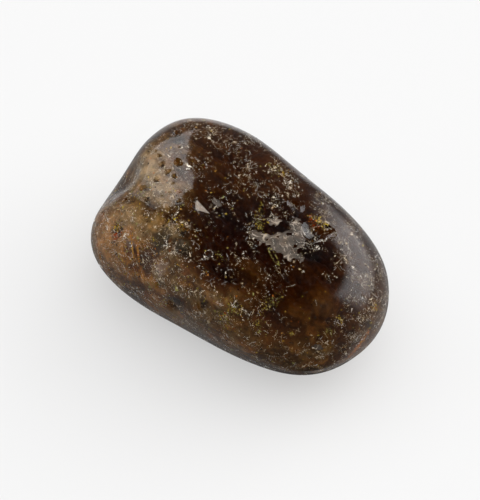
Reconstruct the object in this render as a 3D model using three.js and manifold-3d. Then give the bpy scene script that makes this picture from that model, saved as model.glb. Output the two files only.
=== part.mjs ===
// A tumbled pebble of dark Baltic amber: one solid lump, longer than wide and wider than tall,
// with soft flats, a notch in its slanting end, small pits, and a small flat spot that it rests on.
// Millimetres, +Z up, +X along the pebble. The origin is under its middle, on the surface it rests on.
import * as THREE from "three";
import { mergeVertices } from "three/addons/utils/BufferGeometryUtils.js";
import Module from "manifold-3d";

// Driving sizes, from the middle of the pebble
const HALF_LENGTH = 21;
const HALF_WIDTH = 13.8;
const HALF_HEIGHT = 10.5;
const FOOT_BELOW_MIDDLE = 9.05; // where the rounded underside is worn flat
const BOXINESS = 2.3; // 2 is an ellipsoid, and a higher number is squarer
const BLEND = 9; // how tightly the soft flats meet the rounded body
const SURFACE_STEPS = 15; // each edge of the starting icosahedron is cut this many times

// Soft flats that tumbling left: which way each one faces, and how far it lies from the middle
const FLATS = [
  { name: "far side", lon: 88, lat: 24, reach: 12.8 },
  { name: "near side", lon: -82, lat: -25, reach: 12.6 },
  { name: "slanting end", lon: -163, lat: 22, reach: 17.1 },
  { name: "top", lon: 0, lat: 90, reach: 9.9 },
  { name: "underside", lon: 0, lat: -90, reach: 9.6 },
];

// Broad swellings (rise above 0) and hollows (below 0): spread is in degrees seen from the middle
const SWELLINGS = [
  { name: "notch in the slanting end", lon: -161, lat: 20, rise: -1.7, spread: 11.5 },
  { name: "brow above the notch", lon: -174, lat: 28, rise: 0.6, spread: 14 },
  { name: "far shoulder", lon: 132, lat: 36, rise: 0.6, spread: 30 },
  { name: "near heel", lon: -134, lat: 0, rise: 0.9, spread: 22 },
  { name: "under the heel", lon: -112, lat: -19, rise: 0.4, spread: 22 },
  { name: "undercut of the round end", lon: -16, lat: -38, rise: -1.0, spread: 20 },
  { name: "chin of the round end", lon: 8, lat: -25, rise: 0.8, spread: 20 },
  { name: "dent by the heel", lon: -107, lat: 23, rise: -0.35, spread: 8 },
  { name: "dent on the near side", lon: -82, lat: 4, rise: -0.3, spread: 6 },
];

// Slight waves left all over by tumbling: waves along each axis, and their height
const RIPPLES = [
  { along: [7.1, 3.2, 4.4], start: 0.4, height: 0.07 },
  { along: [-3.7, 8.3, 5.1], start: 1.9, height: 0.06 },
  { along: [9.6, -6.4, 7.9], start: 3.1, height: 0.04 },
];

// Pits on the top and the near side: how wide the mouth is, and how far the floor lies below it
const PITS = [
  { name: "shallow bowl", lon: 17.2, lat: 38.5, across: 3.7, depth: 0.75 },
  { name: "cup in the bowl", lon: 16.4, lat: 36, across: 1.1, depth: 1.05 },
  { name: "largest of the cluster", lon: -175, lat: 45.8, across: 1.15, depth: 0.6 },
  { name: "second of the cluster", lon: -167.7, lat: 40.1, across: 0.8, depth: 0.4 },
  { name: "third of the cluster", lon: -163.6, lat: 44.2, across: 0.75, depth: 0.4 },
  { name: "fourth of the cluster", lon: -161, lat: 48, across: 0.6, depth: 0.35 },
  { name: "fifth of the cluster", lon: -173.5, lat: 36.8, across: 0.6, depth: 0.35 },
  { name: "olive pit", lon: -148, lat: 35.2, across: 1.0, depth: 0.45 },
  { name: "slit above the olive pit", lon: -154.5, lat: 40.5, across: 0.75, depth: 0.4 },
  { name: "edge of the notch", lon: -142.4, lat: 28.6, across: 0.7, depth: 0.5 },
  { name: "beside the notch", lon: -138.3, lat: 37.6, across: 0.7, depth: 0.4 },
  { name: "left of the crest", lon: -132.5, lat: 53, across: 0.6, depth: 0.4 },
  { name: "right of the crest", lon: -132, lat: 61.5, across: 0.7, depth: 0.4 },
  { name: "deep hole", lon: -99.8, lat: 47.5, across: 1.1, depth: 0.9 },
  { name: "red hole", lon: -128, lat: 21.3, across: 1.2, depth: 0.4 },
  { name: "crumbled top edge", lon: 166.9, lat: 31.9, across: 1.4, depth: 0.45 },
  { name: "low pit", lon: -92.5, lat: 14.7, across: 0.9, depth: 0.45 },
  { name: "scallop", lon: -81.8, lat: 4.1, across: 2.3, depth: 0.65 },
  { name: "pit beside the scallop", lon: -63.8, lat: 18, across: 1.2, depth: 0.6 },
  { name: "pit at the heel's edge", lon: -128.5, lat: 2.5, across: 0.7, depth: 0.35 },
  { name: "ring near the crest", lon: -67.1, lat: 43.4, across: 0.9, depth: 0.3 },
  { name: "moon beside the bowl", lon: 34.4, lat: 50.7, across: 2.2, depth: 0.3 },
];

// Pits on the far side, the ends and under the edge, spread by steps of the golden ratio
const FAR_PITS = 14;
const FAR_PIT_LON = 54;
const FAR_PIT_ARC = 195; // they keep to this much of the way round, in degrees of longitude
const GOLDEN_STEP = 0.618;
const FAR_PIT_LOWEST = -40;
const FAR_PIT_HIGHEST = 26;
const FAR_PIT_SMALLEST = 0.5;
const FAR_PIT_LARGEST = 1.1;
const FAR_PIT_DEPTH = 0.45; // as a share of how far it is across

// Facets on the ball that cuts a pit
const FINE_PIT_STEPS = 1;
const BOWL_STEPS = 5;
const BOWL_ACROSS = 2; // wider pits than this are cut by the finer ball

const MERGE_MM = 1e-4;

// The unit vector at a longitude and latitude, in degrees
function direction(lon, lat) {
  const around = THREE.MathUtils.degToRad(lon);
  const up = THREE.MathUtils.degToRad(lat);
  return new THREE.Vector3(
    Math.cos(around) * Math.cos(up),
    Math.sin(around) * Math.cos(up),
    Math.sin(up),
  );
}

const flats = FLATS.map((f) => ({ ...f, facing: direction(f.lon, f.lat) }));
const swellings = SWELLINGS.map((s) => ({ ...s, at: direction(s.lon, s.lat) }));
const ripples = RIPPLES.map((r) => ({ ...r, wave: new THREE.Vector3(...r.along) }));

// How far the surface lies from the middle in a direction, before the foot is worn flat
function reachAlong(way) {
  const round =
    (Math.abs(way.x) / HALF_LENGTH) ** BOXINESS +
    (Math.abs(way.y) / HALF_WIDTH) ** BOXINESS +
    (Math.abs(way.z) / HALF_HEIGHT) ** BOXINESS;
  let sum = round ** (BLEND / BOXINESS);
  for (const { facing, reach } of flats) {
    sum += (Math.max(way.dot(facing), 0) / reach) ** BLEND;
  }
  let reach = sum ** (-1 / BLEND);
  for (const { at, rise, spread } of swellings) {
    const away = THREE.MathUtils.radToDeg(way.angleTo(at)) / spread;
    reach += rise * Math.exp(-away * away);
  }
  for (const { wave, start, height } of ripples) {
    reach += height * Math.sin(way.dot(wave) + start);
  }
  return reach;
}

// The surface point in a direction, with the foot worn flat
function surfacePoint(way) {
  const point = way.clone().multiplyScalar(reachAlong(way));
  if (point.z < -FOOT_BELOW_MIDDLE) {
    point.multiplyScalar(FOOT_BELOW_MIDDLE / -point.z);
  }
  return point;
}

// The way the surface faces there, from two short steps along it
function surfaceNormal(way) {
  const step = 0.02;
  const east = new THREE.Vector3(-way.y, way.x, 0).normalize().multiplyScalar(step);
  const north = new THREE.Vector3().crossVectors(way, east).normalize().multiplyScalar(step);
  const here = surfacePoint(way);
  const eastward = surfacePoint(way.clone().add(east).normalize()).sub(here);
  const northward = surfacePoint(way.clone().add(north).normalize()).sub(here);
  return eastward.cross(northward).normalize();
}

// The pebble before its pits
function makeLump() {
  const geometry = new THREE.IcosahedronGeometry(1, SURFACE_STEPS);
  const places = geometry.getAttribute("position");
  const way = new THREE.Vector3();
  for (let i = 0; i < places.count; i += 1) {
    way.fromBufferAttribute(places, i).normalize();
    const point = surfacePoint(way);
    places.setXYZ(i, point.x, point.y, point.z);
  }
  return geometry;
}

// The ball that cuts a pit: its cap below the surface has the pit's mouth and depth
function makePitCutter({ lon, lat, across, depth }) {
  const way = direction(lon, lat);
  const mouth = across / 2;
  const ball = (mouth * mouth + depth * depth) / (2 * depth);
  const steps = across > BOWL_ACROSS ? BOWL_STEPS : FINE_PIT_STEPS;
  const geometry = new THREE.IcosahedronGeometry(ball, steps);
  const centre = surfacePoint(way).addScaledVector(surfaceNormal(way), ball - depth);
  geometry.translate(centre.x, centre.y, centre.z);
  return geometry;
}

function farPits() {
  const pits = [];
  for (let i = 0; i < FAR_PITS; i += 1) {
    const share = (i + 0.5) / FAR_PITS;
    const across = THREE.MathUtils.lerp(FAR_PIT_LARGEST, FAR_PIT_SMALLEST, (i * GOLDEN_STEP * 2) % 1);
    pits.push({
      lon: FAR_PIT_LON + FAR_PIT_ARC * ((i * GOLDEN_STEP) % 1),
      lat: THREE.MathUtils.lerp(FAR_PIT_LOWEST, FAR_PIT_HIGHEST, share),
      across,
      depth: across * FAR_PIT_DEPTH,
    });
  }
  return pits;
}

const wasm = await Module();
wasm.setup();

function toSolid(geometry) {
  const bare = geometry.clone();
  bare.deleteAttribute("normal");
  bare.deleteAttribute("uv");
  const merged = mergeVertices(bare, MERGE_MM);
  const faces = merged.index ?? new THREE.BufferAttribute(new Uint32Array(0), 1);
  return new wasm.Manifold(
    new wasm.Mesh({
      numProp: 3,
      vertProperties: new Float32Array(merged.getAttribute("position").array),
      triVerts: new Uint32Array(faces.array),
    }),
  );
}

function toGeometry(solid) {
  const mesh = solid.getMesh();
  const geometry = new THREE.BufferGeometry();
  geometry.setAttribute("position", new THREE.BufferAttribute(mesh.vertProperties, 3));
  geometry.setIndex(new THREE.BufferAttribute(mesh.triVerts, 1));
  geometry.computeVertexNormals();
  return geometry;
}

// Stands the geometry on Z = 0 with its box centred on the origin
function standOnOrigin(geometry) {
  geometry.computeBoundingBox();
  const { min, max } = geometry.boundingBox;
  geometry.translate(-(min.x + max.x) / 2, -(min.y + max.y) / 2, -min.z);
  return geometry;
}

function makePebble() {
  let solid = toSolid(makeLump());
  for (const pit of [...PITS, ...farPits()]) {
    solid = solid.subtract(toSolid(makePitCutter(pit)));
  }
  return standOnOrigin(toGeometry(solid));
}

const amber = new THREE.MeshStandardMaterial({
  color: 0x3a2313,
  roughness: 0.12,
  metalness: 0,
});

const pebble = new THREE.Mesh(makePebble(), amber);
pebble.name = "amber_pebble";

const part = new THREE.Group();
part.add(pebble);

export default part;
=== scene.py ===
"""Dresses a tumbled pebble of dark amber: the clear body with its pits, and what lies sealed in it.

Metres, +Z up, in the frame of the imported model. Lists of the pebble's own marks are in millimetres
and degrees: a place is a longitude and a latitude seen from the pebble's middle.
"""

import math
from collections import namedtuple

import bmesh
import bpy
import numpy as np
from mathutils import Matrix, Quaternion, Vector


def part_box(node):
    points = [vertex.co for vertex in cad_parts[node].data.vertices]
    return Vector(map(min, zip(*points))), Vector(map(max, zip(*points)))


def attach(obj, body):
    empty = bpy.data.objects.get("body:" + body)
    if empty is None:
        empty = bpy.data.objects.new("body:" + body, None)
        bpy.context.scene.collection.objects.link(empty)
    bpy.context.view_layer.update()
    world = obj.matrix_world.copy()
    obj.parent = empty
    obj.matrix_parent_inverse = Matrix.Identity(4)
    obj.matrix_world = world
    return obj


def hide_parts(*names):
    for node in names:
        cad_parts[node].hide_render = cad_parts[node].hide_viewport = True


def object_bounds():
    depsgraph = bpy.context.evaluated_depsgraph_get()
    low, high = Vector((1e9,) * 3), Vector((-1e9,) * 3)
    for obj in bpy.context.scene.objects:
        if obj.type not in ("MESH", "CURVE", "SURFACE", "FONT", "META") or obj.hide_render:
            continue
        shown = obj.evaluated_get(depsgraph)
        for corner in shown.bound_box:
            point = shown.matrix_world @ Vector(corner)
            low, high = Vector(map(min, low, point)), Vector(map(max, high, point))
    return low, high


bl_info = {
    "name": "Amber pebble",
    "version": (1, 0, 0),
    "blender": (4, 5, 0),
    "location": "3D View > Sidebar > Amber",
    "description": "Models a tumbled pebble of dark amber, with the flecks and fractures sealed in it",
    "category": "Add Mesh",
}

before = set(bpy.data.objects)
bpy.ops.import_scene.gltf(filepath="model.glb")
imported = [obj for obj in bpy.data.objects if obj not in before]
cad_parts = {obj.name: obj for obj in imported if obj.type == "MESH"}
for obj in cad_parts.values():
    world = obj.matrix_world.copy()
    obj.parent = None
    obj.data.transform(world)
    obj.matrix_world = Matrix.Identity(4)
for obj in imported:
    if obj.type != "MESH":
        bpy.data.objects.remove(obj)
CAD_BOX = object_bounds()
PEBBLE_NODE = "amber_pebble"
BODY = "root"
MM = 0.001

# The pebble's form, from its middle
HALF_LENGTH = 21 * MM
HALF_WIDTH = 13.8 * MM
HALF_HEIGHT = 10.5 * MM
FOOT_BELOW_MIDDLE = 9.05 * MM
BOXINESS = 2.3
BLEND = 9

# Soft flats: name, longitude, latitude, distance from the middle
FLATS = [
    ("far side", 88, 24, 12.8),
    ("near side", -82, -25, 12.6),
    ("slanting end", -163, 22, 17.1),
    ("top", 0, 90, 9.9),
    ("underside", 0, -90, 9.6),
]

# Swellings and hollows: name, longitude, latitude, rise, spread in degrees
SWELLINGS = [
    ("notch in the slanting end", -161, 20, -1.7, 11.5),
    ("brow above the notch", -174, 28, 0.6, 14),
    ("far shoulder", 132, 36, 0.6, 30),
    ("near heel", -134, 0, 0.9, 22),
    ("under the heel", -112, -19, 0.4, 22),
    ("undercut of the round end", -16, -38, -1.0, 20),
    ("chin of the round end", 8, -25, 0.8, 20),
    ("dent by the heel", -107, 23, -0.35, 8),
    ("dent on the near side", -82, 4, -0.3, 6),
    ("faint ridge, far end", 167.4, 39.6, 0.09, 7),
    ("faint ridge, middle", -177.5, 50.0, 0.09, 7),
    ("faint ridge, near end", -151.9, 57.6, 0.09, 7),
]

# Slight waves left by tumbling: waves along each axis, start, height
RIPPLES = [
    ((7.1, 3.2, 4.4), 0.4, 0.03),
    ((-3.7, 8.3, 5.1), 1.9, 0.025),
    ((9.6, -6.4, 7.9), 3.1, 0.015),
]

# Pits: name, longitude, latitude, width of the mouth, depth
PITS = [
    ("shallow bowl", 17.2, 38.5, 3.7, 0.75),
    ("cup in the bowl", 16.4, 36, 1.1, 1.05),
    ("largest of the cluster", -175, 45.8, 1.15, 0.6),
    ("second of the cluster", -167.7, 40.1, 0.8, 0.4),
    ("third of the cluster", -163.6, 44.2, 0.75, 0.4),
    ("fourth of the cluster", -161, 48, 0.6, 0.35),
    ("fifth of the cluster", -173.5, 36.8, 0.6, 0.35),
    ("olive pit", -148, 35.2, 1.0, 0.45),
    ("slit above the olive pit", -154.5, 40.5, 0.75, 0.4),
    ("edge of the notch", -142.4, 28.6, 0.7, 0.5),
    ("beside the notch", -138.3, 37.6, 0.7, 0.4),
    ("left of the crest", -132.5, 53, 0.6, 0.4),
    ("right of the crest", -132, 61.5, 0.7, 0.4),
    ("deep hole", -99.8, 47.5, 1.1, 0.9),
    ("red hole", -128, 21.3, 1.2, 0.4),
    ("crumbled top edge", 166.9, 31.9, 1.4, 0.45),
    ("low pit", -92.5, 14.7, 0.9, 0.45),
    ("scallop", -81.8, 4.1, 2.3, 0.65),
    ("pit beside the scallop", -63.8, 18, 1.2, 0.6),
    ("pit at the heel's edge", -128.5, 2.5, 0.7, 0.35),
    ("ring near the crest", -67.1, 43.4, 0.9, 0.3),
    ("moon beside the bowl", 34.4, 50.7, 2.2, 0.3),
]

# Pits on the far side, the ends and under the edge, spread by steps of the golden ratio
FAR_PITS = 14
FAR_PIT_LON = 54
FAR_PIT_ARC = 195
GOLDEN_STEP = 0.618
FAR_PIT_LOWEST = -40
FAR_PIT_HIGHEST = 26
FAR_PIT_SMALLEST = 0.5
FAR_PIT_LARGEST = 1.1
FAR_PIT_DEPTH = 0.45
# The flecks round a pit's mouth are a painted glint, and the crumbs on its floor are painted shade
WIDE_PIT = 1.5  # wider pits have no flecks round the mouth and no crumbs on the floor

# How fine the skin is: a ball cut this many times, and its faces cut again in and round each pit
BALL_STEPS = 7
REFINED_AROUND_PIT = (1.35, 0.35)  # shares of the mouth's radius, and millimetres past it
REFINED_IN_PIT = (1.15, 0.12)

# Pin pits, scattered all over but fewer where the amber is clear
PIN_PITS = 240
PIN_PIT_SEED = 5
PIN_PIT_LOWEST = -0.75  # the sine of the lowest latitude
PIN_PIT_ACROSS = (0.18, 0.45)
PIN_PIT_DEPTH = (0.25, 0.5)  # as a share of how far it is across
CLEAR_FROM = 1.2  # the amber counts as clear where the nearest cloud is deeper than this
PIN_PITS_IN_CLEAR = 0.35

# Cloudy amber under the skin: longitude, latitude, spread in degrees, depth of its top in millimetres
CLOUDS = [
    (-166, 28, 20, 0.25),
    (-128, 12, 28, 0.2),
    (-150, 42, 15, 0.4),
    (-95, 15, 20, 0.35),
    (-88, -12, 26, 0.4),
    (-66, 14, 14, 0.7),
    (-107, 44, 8, 0.5),
    (-92, 41, 6, 0.7),
    (-46, 24, 9, 1.7),
    (-55, -6, 22, 0.9),
    (-20, -14, 22, 1.3),
    (10, -12, 18, 1.6),
    (150, 0, 26, 1.0),
    (95, -12, 32, 1.5),
    (50, -20, 26, 1.8),
    (-150, -40, 45, 0.5),
    (0, -70, 50, 0.6),
    (100, -55, 45, 0.8),
    (-35.5, 40.5, 7, 3.4),
    (-42, 44, 7, 3.6),
    (-21, 16, 8, 3.0),
    (-6.5, 18.5, 8, 3.0),
    (166, 54, 14, 3.6),
    (120, 62, 16, 4.4),
    (88, 49, 14, 3.4),
]
CLOUD_FALL = 1.6  # how much deeper a cloud lies at its spread than at its top, in millimetres
CLOUD_LEVEL = 8.0  # no cloud lies deeper than this
CLOUD_TOP = 0.2  # and none higher than this
CLOUD_BALL_STEPS = 7

# Where the clouds have a colour of their own: longitude, latitude, spread in degrees, how much
TINTED_PLACES = {
    "golden": [
        (-145, 2, 18, 0.9),
        (-125, 6, 18, 1.0),
        (-98, 8, 9, 0.6),
        (-115, 12, 14, 0.7),
        (-100, 6, 12, 0.5),
        (-90, -12, 24, 0.5),
        (-50, -4, 14, 0.45),
        (-28, 3, 10, 0.2),
        (5, -12, 14, 0.7),
        (160, 22, 14, 0.3),
        (60, -10, 24, 0.3),
    ],
    "tan": [
        (-175, 42, 12, 0.3),
        (-155, 38, 14, 0.7),
        (-138, 31, 12, 0.7),
        (-130, 39, 8, 0.8),
        (-170, 28, 12, 0.8),
        (-125, 40, 10, 0.9),
        (-109, 46, 6, 0.8),
        (-64, 8, 12, 0.3),
        (-48, 12, 12, 0.4),
        (-12, 2, 10, 0.4),
        (-143, 0, 9, 1.0),
        (12, 12, 12, 0.7),
    ],
    "red": [
        (-106.5, 22.5, 6, 1.1),
        (-102, 17, 4, 0.9),
        (-128, 20, 3.5, 1.1),
        (-117, 19, 3.5, 0.9),
        (-110, 12, 4, 0.8),
        (-84, 3, 4, 0.6),
        (-64, 17, 4, 0.6),
    ],
    "slate": [
        (-109, 37, 6, 1.0),
        (-104, 31, 4, 0.7),
        (-86, 46, 7, 1.0),
        (-93, 39, 4, 0.7),
        (166, 32, 6, 0.7),
        (-74, 27, 4, 0.6),
    ],
    "lilac": [
        (-95.5, 24, 4.5, 1.2),
        (-118, 22, 3, 0.8),
    ],
}
TINT_SHARE = 0.82  # how much of a place's own colour shows where it is strongest
DEEP_FROM = 1.2  # clouds deeper than this turn dark brown
DEEP_OVER = 1.6
# Painted shade: the clouds are darkened under and round each pit, standing in for the shade in the pit
PIT_PAINTED_SHADE = 0.95  # how dark the cloud is under a pit
SHADE_AROUND_PIT = 2.4  # that dark spreads this many degrees for each millimetre of the pit's mouth

# What lies in the amber keeps this far above the foot, which begins this near to its plane
LEAST_ABOVE_FOOT = 0.15 * MM
FOOT_EDGE = 0.05 * MM

# Where flecks gather: longitude, latitude, spread in degrees, how many times the rest
FLECKED_PLACES = [
    (146, 38, 22, 0.8),
    (120, 58, 24, 0.5),
    (100, 45, 20, 0.6),
    (60, 55, 16, 1.4),
    (32, 27, 20, 2.4),
    (12, 14, 18, 2.0),
    (-20, 0, 26, 0.9),
    (-75, 10, 30, 0.9),
    (-130, 12, 34, 2.2),
    (-44, 26, 12, 0.8),
    (-165, 38, 16, 0.7),
    (-10, 60, 18, 0.8),
    (-16, 18, 14, -1.0),
    (-5, 18, 10, -0.6),
    (0, 30, 10, -0.5),
    (-60, 62, 16, -0.35),
    (-172, 50, 8, -0.6),
]

# Within that, flecks lie in small clumps
CLUMP_SIZE = 2.4 * MM
CLUMP_SEED = 21

# Where loose golden flakes and dark crumbs gather, in the same way
CLOUDY_HALF = [
    (-135, 15, 40, 1.6),
    (-80, 5, 30, 1.0),
    (-30, -5, 30, 0.7),
    (120, 40, 24, 0.15),
    (80, -20, 40, 0.5),
]

# Marks in the amber. Each is a gathering of small bits: a patch, a streak of bits in line, or a ring.
# Length, width and depth are in millimetres, and heading is in degrees from east.
Mark = namedtuple("Mark", "name lon lat length width heading count depth tone shape", defaults=("patch",))

# Tone runs from orange-red at 0 through gold to olive at 1
GOLDEN_MARKS = [
    Mark("olive streak, thick end", -29.1, 24.9, 3.1, 1.2, 28, 100, 0.45, 0.85),
    Mark("olive streak, thin end", -36.8, 16.9, 3.5, 0.8, 66, 60, 0.6, 0.85),
    Mark("leaf-shaped flake", -18.9, 41.8, 1.9, 0.55, -92, 80, 0.2, 0.92, "ring"),
    Mark("olive by the fracture", -11.9, 61.7, 1.7, 0.9, -100, 50, 0.35, 0.82),
    Mark("olive on the crest", 6.9, 68.4, 3.5, 1.3, 28, 60, 0.7, 0.85),
    Mark("gold in the bowl", 26.6, 39.1, 1.7, 0.8, -107, 90, 0.04, 0.66),
    Mark("orange in the bowl", 23.2, 41.2, 1.4, 0.9, -127, 40, 0.2, 0.12),
    Mark("gold at the round end", 8.5, 7.6, 1.4, 1.0, -67, 46, 0.12, 0.5),
    Mark("yellow, low", -11.5, 10.6, 1.1, 0.8, -7, 40, 0.3, 0.9),
    Mark("yellow, lower left", -25.0, 13.3, 0.9, 0.6, -25, 30, 0.3, 0.82),
    Mark("yellow, lower right", -6.3, 12.6, 1.5, 0.6, -74, 34, 0.3, 0.6),
    # Painted light: the orange rim stands for the glow of light coming through the thin lower edge
    Mark("orange rim", -1.5, -2.5, 5.1, 0.9, 35, 480, 0.04, 0.24, "streak"),
    Mark("gold by the heel", -129.2, 20.9, 1.0, 0.8, 65, 130, 0.05, 0.48),
    Mark("red by the heel", -126.0, 18.8, 1.5, 0.9, 79, 120, 0.1, 0.12),
    Mark("orange spark", -120.2, 25.2, 0.6, 0.4, 90, 34, 0.04, 0.3),
    Mark("gold strand", -114.9, 21.3, 2.8, 0.2, -43, 140, 0.04, 0.4, "streak"),
    Mark("second gold strand", -111.7, 22.0, 2.5, 0.2, -46, 110, 0.04, 0.3, "streak"),
    Mark("yellow thread", -116.8, 12.8, 1.4, 0.3, -13, 40, 0.05, 0.66, "streak"),
    Mark("yellow at the end's edge", -135.5, 0.7, 1.6, 0.9, -25, 50, 0.2, 0.85),
    Mark("gold by the deep hole", -102.6, 48.3, 1.4, 0.9, 7, 46, 0.2, 0.52),
    Mark("gold streak", -108.4, 33.5, 1.5, 0.4, 28, 22, 0.2, 0.55, "streak"),
    Mark("amber patch", -111.4, 10.8, 2.8, 1.6, 0, 80, 0.35, 0.36),
    Mark("orange bit", -118.6, 23.2, 1.2, 0.4, -20, 14, 0.08, 0.2, "streak"),
    Mark("olive in the low pit", -93.8, 13.7, 1.2, 0.6, 6, 34, 0.12, 0.88),
    Mark("gold arc of the scallop", -83.7, 6.7, 1.9, 1.2, 7, 44, 0.15, 0.5, "ring"),
    Mark("olive feathers", -47.3, 22.0, 2.6, 1.4, -42, 120, 0.3, 0.85),
    Mark("olive patch", -51.3, 14.8, 3.1, 1.8, -99, 120, 0.6, 0.82),
    Mark("olive under the ring", -59.3, 44.7, 1.2, 0.7, -38, 26, 0.3, 0.88),
    Mark("olive by the far side", 88.0, 49.1, 3.8, 2.2, 9, 110, 0.8, 0.78),
]

# Tone runs from tan at 0 to white at 1
PALE_MARKS = [
    Mark("feather at the top", 126.2, 35.1, 3.8, 0.6, -99, 60, 0.08, 0.8, "streak"),
    Mark("tuft at the top", 148.8, 35.9, 3.0, 1.5, 117, 50, 0.08, 0.8),
    Mark("tuft near the bowl", 65.9, 53.2, 2.0, 1.0, 13, 60, 0.06, 0.85),
    Mark("row below that tuft", 78.2, 65.2, 2.6, 0.5, 74, 34, 0.1, 0.75, "streak"),
    Mark("white dash", -93.6, 34.2, 1.2, 0.25, 24, 18, 0.04, 1.0, "streak"),
    Mark("row by the ring", -81.9, 36.3, 2.0, 0.6, 7, 30, 0.06, 0.9),
    Mark("lilac patch", -96.9, 20.8, 2.6, 1.6, -21, 70, 0.12, 0.55),
    Mark("tuft by the low pit", -62.7, 13.9, 2.6, 0.6, 57, 46, 0.06, 0.85, "streak"),
    Mark("crumbs under the leaf", -25.4, 33.8, 2.6, 1.3, 6, 50, 0.12, 0.65),
    Mark("white, lower right", -14.6, 7.4, 2.1, 1.0, -45, 50, 0.15, 0.7),
    Mark("speckled end", -3.4, 3.6, 2.8, 2.0, 11, 80, 0.06, 0.75),
    Mark("speckled end, higher", 5.2, 9.1, 4.5, 1.6, -7, 90, 0.06, 0.7),
    Mark("low edge", -21.2, -1.8, 1.7, 0.5, 51, 24, 0.08, 0.7, "streak"),
    Mark("low middle", -48.1, 1.4, 1.4, 0.7, -17, 26, 0.08, 0.8),
    Mark("row across the middle", -58.3, 27.6, 2.1, 0.5, -18, 22, 0.06, 0.9),
    Mark("pale rim at the top", 152.6, 22.4, 3.1, 1.0, 25, 60, 0.08, 0.35),
    # Painted highlights: the pale ring round this pit, and the crescent, white spot and ring in the bowl
    # below, stand for glints off the hollows
    Mark("ring near the crest", -67.1, 43.4, 1.05, 1.05, 0, 34, 0.04, 0.85, "ring"),
    Mark("crescent in the bowl", 12.3, 35.7, 1.7, 0.15, -20, 50, 0.02, 0.9, "streak"),
    Mark("white at the bowl's edge", 6.7, 34.9, 0.9, 0.4, -13, 40, 0.02, 1.0),
    Mark("bubble in the bowl", 14.5, 36.2, 1.1, 1.1, 0, 26, 0.04, 0.8, "ring"),
    Mark("crust over the deep hole", -101.0, 51.5, 1.6, 0.4, 10, 44, 0.03, 0.8),
    Mark("white by the slate", -97.5, 32.5, 1.8, 0.6, -20, 16, 0.04, 0.95, "streak"),
    Mark("glint in the red", -122.4, 22.5, 1.5, 0.5, 90, 60, 0.03, 0.9, "streak"),
    Mark("sparks by the slate", -100.1, 35.5, 1.1, 0.2, 32, 22, 0.03, 1.0, "streak"),
    Mark("more sparks there", -90.6, 36.6, 1.7, 0.5, 9, 22, 0.03, 0.95),
    Mark("pale rim of the lilac", -91.8, 19.1, 1.9, 0.3, 28, 44, 0.04, 0.6, "streak"),
    Mark("crust by the hole", -107.5, 50.5, 1.2, 0.4, 32, 30, 0.03, 0.7),
    Mark("pale strand", -117.0, 16.0, 2.6, 0.25, 80, 40, 0.04, 0.4, "streak"),
]

# Tone runs from black-brown at 0 to violet-grey at 1
DARK_MARKS = [
    Mark("crumbled top edge", 166.7, 31.1, 2.4, 1.4, 5, 60, 0.08, 0.6),
    Mark("violet dent", -106.8, 20.1, 2.9, 2.0, -31, 70, 0.2, 0.5),
    # Painted shade: the dark bits in the scallop, in the bowl and in the deep hole stand for the shade in
    # those hollows
    Mark("dark in the scallop", -81.8, 3.0, 1.9, 1.0, 7, 50, 0.1, 0.1),
    Mark("dark by the heel", -123.0, 16.0, 1.6, 1.0, 0, 20, 0.2, 0.2),
    Mark("dark in the bowl", 12.0, 40.0, 1.8, 1.2, -40, 40, 0.08, 0.2),
    Mark("dark of the deep hole", -99.8, 47.0, 1.2, 0.9, 0, 90, 0.03, 0.0),
]

# Grey fractures close under the skin: name, longitude, latitude, length, width, heading, depth, shape
FRACTURES = [
    ("main sheet", -7.9, 46.4, 5.2, 3.2, -30, 0.14, "ragged"),
    ("lower lobe", -8.3, 39.5, 3.0, 1.9, -52, 0.12, "ragged"),
    ("left arm", -21.8, 54.3, 2.3, 1.4, -44, 0.14, "ragged"),
    ("left wall of the bowl", 9.2, 44.6, 4.4, 2.0, -146, 0.08, "ragged"),
    ("lilac crystals", 4.7, 58.0, 2.0, 1.5, 0, 0.12, "ragged"),
    # Painted reflection: the flat glint is a flat pale sheet standing for the reflection of a softbox's
    # corner
    ("flat glint", -115.9, 62.9, 3.4, 1.0, 14, 0.04, "painted_glint_wedge"),
    ("patch above the glint", -115.1, 75.7, 2.2, 1.0, 12, 0.12, "ragged"),
    ("chip, lower right", -17.0, 6.5, 1.8, 1.0, -45, 0.12, "ragged"),
    ("far side chip", 110.0, 5.0, 3.0, 1.4, 20, 0.16, "ragged"),
    ("end chip", 178.0, -12.0, 2.4, 1.2, 60, 0.16, "ragged"),
]
SHEET_THICKNESS = 0.02 * MM
# The tone of the painted reflection
PAINTED_GLINT_TONE = 0.74  # its place between the sheet's dark and pale colours
FLAKE_THICKNESS = 0.03 * MM
CRUMB_THICKNESS = 0.06 * MM


def ways_at(lon, lat):
    """Unit vectors at longitudes and latitudes in degrees."""
    around, up = np.radians(lon), np.radians(lat)
    return np.stack([np.cos(around) * np.cos(up), np.sin(around) * np.cos(up), np.sin(up)], -1)


def degrees_between(ways, way):
    return np.degrees(np.arccos(np.clip(ways @ way, -1, 1)))


def reach_along(ways):
    """How far the surface lies from the middle along each unit vector, before the foot is worn flat."""
    size = np.abs(ways) / np.array([HALF_LENGTH, HALF_WIDTH, HALF_HEIGHT])
    total = (size**BOXINESS).sum(-1) ** (BLEND / BOXINESS)
    for _name, lon, lat, distance in FLATS:
        total = total + (np.maximum(ways @ ways_at(lon, lat), 0) / (distance * MM)) ** BLEND
    reach = total ** (-1 / BLEND)
    for _name, lon, lat, rise, spread in SWELLINGS:
        reach = reach + rise * MM * np.exp(-((degrees_between(ways, ways_at(lon, lat)) / spread) ** 2))
    for waves, start, height in RIPPLES:
        reach = reach + height * MM * np.sin(ways @ np.array(waves) + start)
    return reach


def skin_points(ways):
    """Surface points along unit vectors, from the middle, with the foot worn flat."""
    points = ways * reach_along(ways)[..., None]
    below = points[..., 2] < -FOOT_BELOW_MIDDLE
    points[below] *= (FOOT_BELOW_MIDDLE / -points[below][:, 2])[:, None]
    return points


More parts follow.
